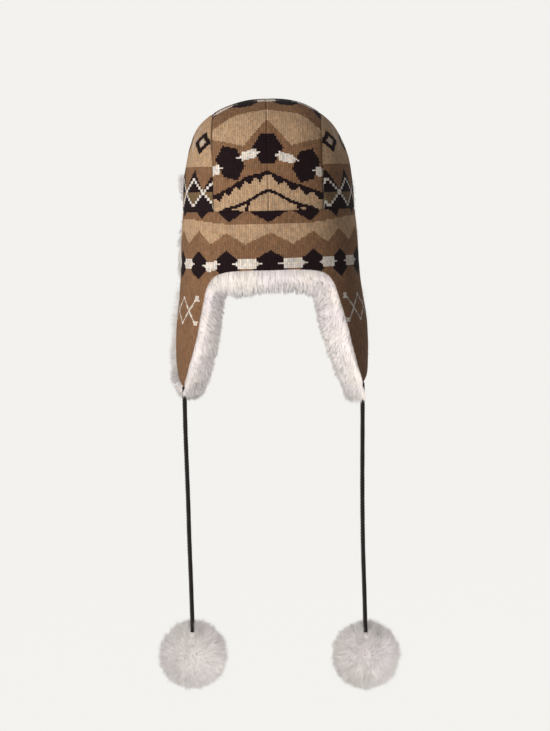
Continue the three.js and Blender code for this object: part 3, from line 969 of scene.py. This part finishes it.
# The same distance, and how far the fur laps over the knit, in millimetres
RIM_OVERLAP = [
    (-196, 0), (-186, 0.6), (-176, 1.5), (-163, 2.5), (-138, 3.2), (-113, 3.8), (-88, 2.6), (-63, 1.2),
    (-50, 0.4), (50, 0.4), (63, 1.5), (88, 3.2), (113, 5.8), (138, 7.0), (163, 5.6), (176, 3.2),
    (188, 1.4), (198, 0),
]

EDGE_STEPS = 900
RIM_ROWS, RIM_COLUMNS = 13, 450
loop_angle, loop_drop, loop_length = edge_loop(EDGE_STEPS)
loop_start = shell(loop_angle, loop_drop)
loop_out = shell_out(loop_angle, loop_drop)
loop_along = np.roll(loop_start, -1, axis=0) - np.roll(loop_start, 1, axis=0)
loop_past = unit(np.cross(loop_along, loop_out))
for smoothing in range(12):
    loop_past = unit(loop_past + np.roll(loop_past, 1, axis=0) + np.roll(loop_past, -1, axis=0))
loop_brow = np.clip((np.cos(loop_angle) - BROW_END) / (1 - BROW_END), 0, None)
loop_side = (np.arange(EDGE_STEPS) / EDGE_STEPS + 0.5) % 1 * loop_length - loop_length / 2
loop_gain = read_table(RIM_GAIN, loop_side * MILLIMETRES)
loop_overlap = read_table(RIM_OVERLAP, loop_side * MILLIMETRES) / MILLIMETRES
loop_reach = (RIM_REACH + (BROW_REACH - RIM_REACH) * np.sqrt(loop_brow)) * loop_gain
rim_line = curve_through(RIM_SECTION, 8)


def rim_place(at, section):
    """Points on the rim's backing at places along the edge and round the section, the directions away
    from the backing, away from the knit and past the edge there, and the edge's own points."""
    where = at * EDGE_STEPS % EDGE_STEPS
    low = where.astype(int)
    part = (where - low)[:, None]
    high = (low + 1) % EDGE_STEPS

    def read(values):
        return mix(values[low], values[high], part)

    def on_section(place):
        steps = np.linspace(0, 1, len(rim_line))
        return np.stack([np.interp(place, steps, column) for column in rim_line.T])

    start, out, past = read(loop_start), unit(read(loop_out)), unit(read(loop_past))
    reach = read((loop_reach * (0.74 + 0.26 * np.sqrt(loop_brow)))[:, None])[:, 0]
    beyond, inward = on_section(section)
    ahead, deeper = on_section(section + 0.02) - on_section(section - 0.02)
    ahead = ahead * reach
    deeper = deeper * RIM_PILE
    size = np.hypot(ahead, deeper)
    outward = out * (ahead / size)[:, None] + past * (deeper / size)[:, None]
    points = start + past * (reach * beyond)[:, None] - out * (RIM_PILE * inward)[:, None]
    return points, outward, out, past, start


def make_rim():
    way = np.linspace(0, 1, RIM_COLUMNS, endpoint=False)
    along, section = np.meshgrid(way, np.linspace(0, 1, RIM_ROWS))
    points, outward, *_ = rim_place(along.ravel(), section.ravel())
    points = points + outward * (0.0012 * noise(points, 0.008, 31))[:, None]
    points = points.reshape(RIM_ROWS, RIM_COLUMNS, 3)
    # The backing takes the strands' darker root colour, painted shade under the fur.
    underfur("fur_backing", "fur_lining", points, FUR_ROOT_SHADED, (0.08, noise(points, 0.004, 33)))


# Name, part of the way round the edge, part of the section round the rim, number of strands
RIM_PARTS = [
    ("fur_brow", (-0.115, 0.115), (0.08, 0.97), 27000),
    ("fur_flap_right", (0.115, 0.415), (0.03, 0.97), 38000),
    ("fur_nape", (0.415, 0.585), (0.03, 0.97), 11000),
    ("fur_flap_left", (0.585, 0.885), (0.03, 0.97), 36000),
    ("fur_edge_left", (0.582, 0.735), (0.02, 0.50), 22000),
]

# Height in metres, how far the fur shows past the knit at the left rear edge and cuff
LEFT_FRINGE = [
    (-0.318, 0.0105), (-0.300, 0.0100), (-0.277, 0.0090), (-0.250, 0.0072), (-0.145, 0.0066),
    (-0.130, 0.0034), (-0.104, 0.0028), (-0.094, 0.0070), (-0.070, 0.0076), (-0.064, 0.0060),
]


# Lengths of the rim's strands: everywhere, more at the brow, more at the right flap's front corner
RIM_LENGTH, BROW_LENGTH, CORNER_LENGTH = 0.0078, 0.0030, 0.0085
CORNER_ANGLE, CORNER_SPREAD = 77, 8
FRINGE_SHARE, FRINGE_FOOT, RIGHT_FRINGE = 0.20, -0.272, 0.0036
LAPPED_SHARE, LAPPED_LENGTHS = 0.26, (0.0075, 0.0125)
LEFT_CORD_X, CORD_TOP = -0.0975, -0.3


def reach_past(roots, over, most):
    """The length that takes strands from their roots past the knit's outline by over."""
    outline = HALF_WIDTH + FLAP_FLARE * smooth_table(FLARE_TABLE, (SEAM_HEIGHT - roots[:, 2]) / TIP_DROP)
    return np.clip(outline + over - np.abs(roots[:, 0]), 0.004, most)


def rim_lay(section, turned, brow, on_left, outward, past, side, wander):
    """Directions of the rim's strands at root and tip, and their lengths, by their angle from the front."""
    top = smooth_step(0.30, 0.10, section)
    corner = np.exp(-((turned - CORNER_ANGLE) / CORNER_SPREAD) ** 2) * (1 - on_left)
    near_knit = (1 - on_left) * smooth_step(0.42, 0.2, section)
    stand = 1 - 0.85 * near_knit * smooth_step(50, 62, turned)
    stand = stand + (0.75 - stand) * 0.8 * corner
    start = outward * ((0.75 - 0.35 * top) * stand)[:, None] + past * (0.4 + 0.6 * top)[:, None]
    start = unit(start + DOWN * (0.2 + 0.9 * corner)[:, None] + side * (0.45 * corner)[:, None])
    lay = past * (0.3 + 0.55 * brow + 0.2 * top)[:, None] + DOWN * (0.5 + 1.2 * corner)[:, None]
    end = unit(outward * (0.3 * stand)[:, None] + lay + 0.3 * wander)
    lengths = RIM_LENGTH + BROW_LENGTH * brow + CORNER_LENGTH * corner
    return start, end, lengths * (1 - 0.6 * near_knit * smooth_step(82, 90, turned))


def make_rim_strands(name, way, around, count):
    at = rng.uniform(*way, count) % 1
    section = rng.uniform(*around, count)
    roots, outward, out, past, edge = rim_place(at, section)
    index, steps = at * EDGE_STEPS, np.arange(EDGE_STEPS)
    angle = np.interp(index, steps, np.unwrap(loop_angle))
    turned = np.degrees(np.abs((angle + math.pi) % (2 * math.pi) - math.pi))
    brow = np.interp(index, steps, loop_brow) ** 0.5
    on_left = np.where(at > 0.5, 1.0, 0.0)
    side = np.sign(roots[:, :1]) * SIDEWAYS
    wander = noise_vector(roots, 0.012, 91)
    start, end, lengths = rim_lay(section, turned, brow, on_left, outward, past, side, wander)

    # The fringe that shows past the knit's side edge
    fringe = smooth_step(94 - 12 * on_left, 104 - 11 * on_left, turned) * smooth_step(0.62, 0.4, section)
    loose = (rng.uniform(size=count) < FRINGE_SHARE) * (roots[:, 2] > FRINGE_FOOT)
    fringe = fringe * np.where(on_left > 0, 1.0, loose)
    over = np.where(on_left > 0, read_table(LEFT_FRINGE, roots[:, 2]), RIGHT_FRINGE)
    short = reach_past(roots, over, 0.031)
    rise = 0.3 * rng.normal(size=count)
    start = unit(mix(start, side + outward * 0.25 - DOWN * rise[:, None], fringe[:, None]))
    fall = DOWN * (0.3 + 0.6 * smooth_step(104, 88, turned) - rise)[:, None]
    end = unit(mix(end, side + fall + 0.15 * wander, fringe[:, None]))
    lengths = mix(lengths, 1.02 * short, fringe) * rng.uniform(0.74, 1.06, count)

    # The share that lies over the knit along the edge
    overlap = np.interp(index, steps, loop_overlap)
    lapped = (overlap > 0.0002) & (rng.uniform(size=count) < LAPPED_SHARE)
    depth = overlap - rng.uniform(0, 1, count) * (overlap + 0.0022)
    lift = 0.0005 + np.clip(folds(edge), 0, None)
    chosen = lapped[:, None]
    roots = np.where(chosen, edge - past * depth[:, None] + out * lift[:, None], roots)
    facing = np.where(chosen, unit(out + past * 0.35), outward)
    start = np.where(chosen, unit(past + out * 0.5 + DOWN * 0.35), start)
    end = np.where(chosen, unit(past * 0.8 + DOWN * 0.9 + 0.25 * wander), end)
    lengths = np.where(lapped, rng.uniform(*LAPPED_LENGTHS, count), lengths)

    # The fur parts where the left cord leaves it
    widths = rng.uniform(*STRAND_WIDTHS, count)
    parted = (np.abs(roots[:, 0] - LEFT_CORD_X) < 0.0036) & (roots[:, 1] < -0.008) & (section < 0.75)
    kept = ~(parted & (roots[:, 2] < CORD_TOP) & (rng.uniform(size=count) < 0.85))
    bias = out * (1.2 * np.clip(-facing[:, 2], 0, 1))[:, None]
    tones = [tone[kept] for tone in fur_tones(roots)]
    rest = [values[kept] for values in (roots, start, end, lengths, widths, facing)]
    strands(name, "fur_lining", "fur", *rest, tones, RIM_TUFT, bias[kept])


make_rim()
for part in RIM_PARTS:
    make_rim_strands(*part)


def lining_place(angle, share, inset):
    drop_end = np.interp(np.abs(angle), edge_angle, edge_drop) - 0.004
    drop = -(CROWN_RISE - LINING_FACE - LINING_PILE) * np.clip(1 - share, 0, 1) ** 0.5
    drop = np.where(share < 1, drop, (share - 1) * drop_end)
    return drop, shell(angle, drop, inset)


LINING_STRANDS = 16000


def make_lining():
    angles = np.linspace(-math.pi, math.pi, 96, endpoint=False)[None, :]
    angle, share = np.broadcast_arrays(angles, np.linspace(0.0, 2.0, 40)[:, None])
    _, points = lining_place(angle, share, LINING_FACE + 0.0045)
    points = points[:, ::-1]
    # The backing takes the strands' darker root colour, painted shade under the fur.
    underfur("lining_backing", "fur_lining", points, FUR_ROOT_SHADED, (0.06, noise(points, 0.005, 35)))
    angle = rng.uniform(-math.pi, math.pi, LINING_STRANDS)
    share = rng.uniform(0.6, 2.0, LINING_STRANDS)
    drop, roots = lining_place(angle, share, LINING_FACE + 0.004)
    inward = -np.where((drop < 0)[:, None], crown_out(roots), shell_out(angle, np.maximum(drop, 0.001)))
    start = unit(inward + 0.2 * DOWN)
    end = unit(inward * 0.5 + 0.7 * DOWN + 0.4 * noise_vector(roots, 0.012, 95))
    lengths = rng.uniform(0.006, 0.0085, LINING_STRANDS)
    widths = rng.uniform(0.0006, 0.0011, LINING_STRANDS)
    tones = fur_tones(roots, 0.03)
    strands("lining_fur", "fur_lining", "fur", roots, start, end, lengths, widths, inward, tones,
            LINING_TUFT)


make_lining()


def cuff_place(at, climb, stand):
    """Places on the turned-up cuff: at runs round the back, climb from its foot to its top."""
    angle = CUFF_START + 2 * (math.pi - CUFF_START) * at
    low = -(BAND_DEPTH + EDGE_TABLE[-1][1] * FLAP_LENGTH)
    taper = np.sin(math.pi * (0.02 + 0.96 * at)) ** 0.25
    middle = 0.5 + (climb - 0.5) * (0.5 + 0.5 * taper)
    drop = -(low + (CUFF_RISE - low) * middle)
    return angle, drop, shell(angle, drop, -stand * taper)


CUFF_STRANDS = 44000


def cuff_stand(climb):
    return 0.0085 * np.sin(math.pi * climb) ** 0.35


def make_cuff():
    at, climb = np.meshgrid(np.linspace(0, 1, 90), np.linspace(0, 1, 26))
    _, _, points = cuff_place(at, climb, 0.0008 + cuff_stand(climb))
    spots = (0.08, noise(points, 0.004, 37))
    # The backing takes the strands' darker root colour, painted shade under the fur.
    underfur("cuff_backing", "back_cuff", points, FUR_ROOT_SHADED, spots, wrap=False)
    at = rng.uniform(0, 1.2, CUFF_STRANDS)
    at = np.where(at > 1, 1 - 0.65 * (at - 1), at)
    climb = rng.uniform(0, 1, CUFF_STRANDS)
    angle, drop, roots = cuff_place(at, climb, 0.0004 + cuff_stand(climb))
    rim = (np.abs(climb - 0.5) * 2) ** 3 * np.sign(climb - 0.5)
    ends = (np.abs(at - 0.5) * 2) ** 5 * np.sign(at - 0.5)
    forward = unit(shell(angle + 0.01, drop) - shell(angle - 0.01, drop))
    facing = unit(shell_out(angle, drop) - DOWN * (0.9 * rim)[:, None] + forward * (0.9 * ends)[:, None])

    # The left end shows past the crown's outline, and its lowest strands droop
    top = smooth_step(0.6, 0.9, climb)
    left_end = smooth_step(0.84, 0.96, at)
    low = smooth_step(0.3, 0.05, climb) * left_end
    fringe = left_end + 0.5 * smooth_step(0.2, 0.02, at) * top
    aside = np.sign(roots[:, :1]) * SIDEWAYS * fringe[:, None]
    start = unit(facing * 0.9 + DOWN * 0.15 + aside)
    droop = facing * 0.55 + DOWN * (0.55 - 1.3 * top * fringe)[:, None] + forward * (0.5 * ends)[:, None]
    end = unit(droop + 1.2 * aside + 0.4 * noise_vector(roots, 0.012, 97))
    end = unit(end + DOWN * (2.2 * low)[:, None])
    short = reach_past(roots, read_table(LEFT_FRINGE, roots[:, 2] - 0.006), 0.020)
    lengths = rng.uniform(0.0075, 0.0110, CUFF_STRANDS) + 0.004 * (fringe - left_end)
    past = (1.12 * short * (1 - 0.25 * low) + 0.011 * low) * rng.uniform(0.8, 1.04, CUFF_STRANDS)
    lengths = mix(lengths, past, left_end)
    widths = rng.uniform(*STRAND_WIDTHS, CUFF_STRANDS)
    tones = fur_tones(roots)
    strands("cuff_fur", "back_cuff", "fur", roots, start, end, lengths, widths, facing, tones, RIM_TUFT)


make_cuff()


# Pompoms

POMPOM_STRANDS = 37000
CORE_SHARE = 0.6


def sphere_points(lean, turn):
    parts = np.sin(lean) * np.cos(turn), np.sin(lean) * np.sin(turn), np.cos(lean)
    return np.stack(np.broadcast_arrays(*parts), -1)


def make_pompom(side):
    """Strands all round a core, parted in front of the cord's end."""
    node = f"pompom_{side}"
    centre = np.array(CORD_ROUTES[side][-1]) + DOWN * POMPOM_DROP
    order = np.arange(POMPOM_STRANDS) + 0.5
    away = sphere_points(np.arccos(1 - 2 * order / POMPOM_STRANDS), math.pi * (1 + math.sqrt(5)) * order)
    away = unit(away + 0.05 * rng.normal(size=away.shape))
    reach = rng.uniform(0.88, 1.0, POMPOM_STRANDS)
    reach = reach * np.where(rng.uniform(size=POMPOM_STRANDS) < 0.04, 1.06, 1.0)
    tips = away * (reach * POMPOM_RADIUS)[:, None]
    parted = (np.abs(tips[:, 0]) < 0.0038) & (tips[:, 1] < 0.003) & (tips[:, 2] > POMPOM_DROP + 0.0014)
    away, reach = away[~parted], reach[~parted]
    roots = centre + away * (CORE_SHARE * POMPOM_RADIUS)
    sway = 0.3 * noise_vector(roots, 0.006, 101) + 0.25 * rng.normal(size=roots.shape)
    end = unit(away + sway + 0.1 * DOWN)
    lengths = POMPOM_RADIUS * (reach - CORE_SHARE) * 1.02
    widths = rng.uniform(0.0003, 0.0006, len(away))
    bias = 0.8 * unit(np.cross(away, rng.normal(size=away.shape)))
    tones = fur_tones(roots, 0.06, FUR_TIP)
    fur = strands(f"pompom_fur_{side}", node, "pompom_fur", roots, away, end, lengths, widths, away, tones,
                  POMPOM_TUFT, bias)
    lean = np.linspace(0.02, math.pi - 0.02, 40)[:, None]
    ball = sphere_points(lean, np.linspace(0, 2 * math.pi, 64, endpoint=False))
    size = (CORE_SHARE + 0.01) * POMPOM_RADIUS * (1 + 0.03 * noise(ball, 0.2, 103))
    points = centre + ball * size[..., None]
    spots = (0.08, noise(ball, 0.1, 105))
    # The core is a tenth darker than the strands' tips: painted shade deep inside the pompom.
    core = underfur(f"pompom_core_{side}", node, points, FUR_TIP * 0.9, spots)
    return fur, core


for side, (cord, path) in cords.items():
    pieces = make_pompom(side)
    dress(f"tie_cord_{side}")


# Stage and light

FLOOR_HEIGHT = -1.0
STAGE_RADIUS = 5.0
STAGE_BEND = 1.6
STAGE_STEPS = 12
STAGE_TOP = 4.0
STAGE_COLOUR = (0.896, 0.887, 0.855)
WORLD_STRENGTH = 0.28

# Name, place, height of the aim, size, power, colour, what it shines on
LIGHTS = [
    ("key", (-1.78, -2.2, 0.25), -0.25, 1.6, 88, (1.0, 0.985, 0.965), "lit_by_key"),
    ("fur_left", (-1.78, -2.2, 0.25), -0.4, 1.6, 40, (1.0, 0.985, 0.965), "lit_softly"),
    ("fur_right", (2.1, -1.8, -0.7), -0.3, 1.6, 23, (1.0, 0.98, 0.97), "lit_softly"),
    ("fur_low", (0.2, -1.3, -0.98), -0.4, 1.2, 10, (1.0, 0.98, 0.97), "lit_softly"),
    ("fur_back", (-1.5, 2.1, 0.2), -0.3, 1.6, 34, (1.0, 0.99, 0.98), "lit_softly"),
    ("fur_top", (-0.3, -0.9, 1.9), -0.3, 1.6, 14, (1.0, 0.99, 0.98), "lit_softly"),
    ("back", (0.6, 2.4, 1.2), -0.2, 1.4, 12, (1.0, 1.0, 1.0), "lit_by_key"),
]


def make_stage():
    turn = math.pi / 2 * np.arange(STAGE_STEPS + 1) / STAGE_STEPS
    bend = STAGE_RADIUS - STAGE_BEND + STAGE_BEND * np.sin(turn)
    radius = np.concatenate([[0.0], bend, [STAGE_RADIUS]])[:, None]
    rise = FLOOR_HEIGHT + STAGE_BEND * (1 - np.cos(turn))
    height = np.concatenate([[FLOOR_HEIGHT], rise, [STAGE_TOP]])[:, None]
    turn = np.linspace(0, 2 * math.pi, 96, endpoint=False)
    points = np.stack(np.broadcast_arrays(radius * np.cos(turn), radius * np.sin(turn), height), -1)
    mesh = bpy.data.meshes.new("studio_floor")
    faces = grid_quads(*points.shape[:2], wrap=True).tolist()
    mesh.from_pydata(points.reshape(-1, 3).tolist(), [], faces)
    mesh.shade_smooth()
    material, _, shader = new_material("studio_floor")
    set_inputs(
        shader, Base_Color=(0.03, 0.03, 0.03, 1), Roughness=1, Specular_IOR_Level=0,
        Emission_Color=(*STAGE_COLOUR, 1), Emission_Strength=0.985,
    )
    mesh.materials.append(material)
    floor = add_object("studio_floor", mesh)
    floor.visible_diffuse = False


def receivers(name, pieces):
    """A group of pieces that a light can be limited to."""
    group = bpy.data.collections.new(name)
    for piece in pieces:
        group.objects.link(piece)
    return group


def area_light(name, place, aim_height, size, energy, colour, lit):
    data = bpy.data.lights.new(name, "AREA")
    data.shape = "DISK"
    data.size = size
    data.energy = energy
    data.color = colour
    light = add_object(name, data)
    light.location = place
    aim = Vector((0, 0, aim_height)) - Vector(place)
    light.rotation_euler = aim.to_track_quat("-Z", "Y").to_euler()
    light.light_linking.receiver_collection = lit


make_stage()
every = [piece for piece in bpy.context.scene.objects if piece.type == "MESH"]
hairy = [piece for piece in every if piece.data.materials[0] in (strand_look, backing_look)]
groups = {
    "lit_by_key": receivers("lit_by_key", [piece for piece in every if piece not in hairy]),
    "lit_softly": receivers("lit_softly", hairy),
}
for *light, group in LIGHTS:
    area_light(*light, groups[group])
world = bpy.data.worlds.new("studio")
bpy.context.scene.world = world
world.use_nodes = True
set_inputs(world.node_tree.nodes["Background"], Color=(0.98, 0.98, 1.0, 1), Strength=WORLD_STRENGTH)
bpy.context.scene.view_settings.view_transform = "Standard"
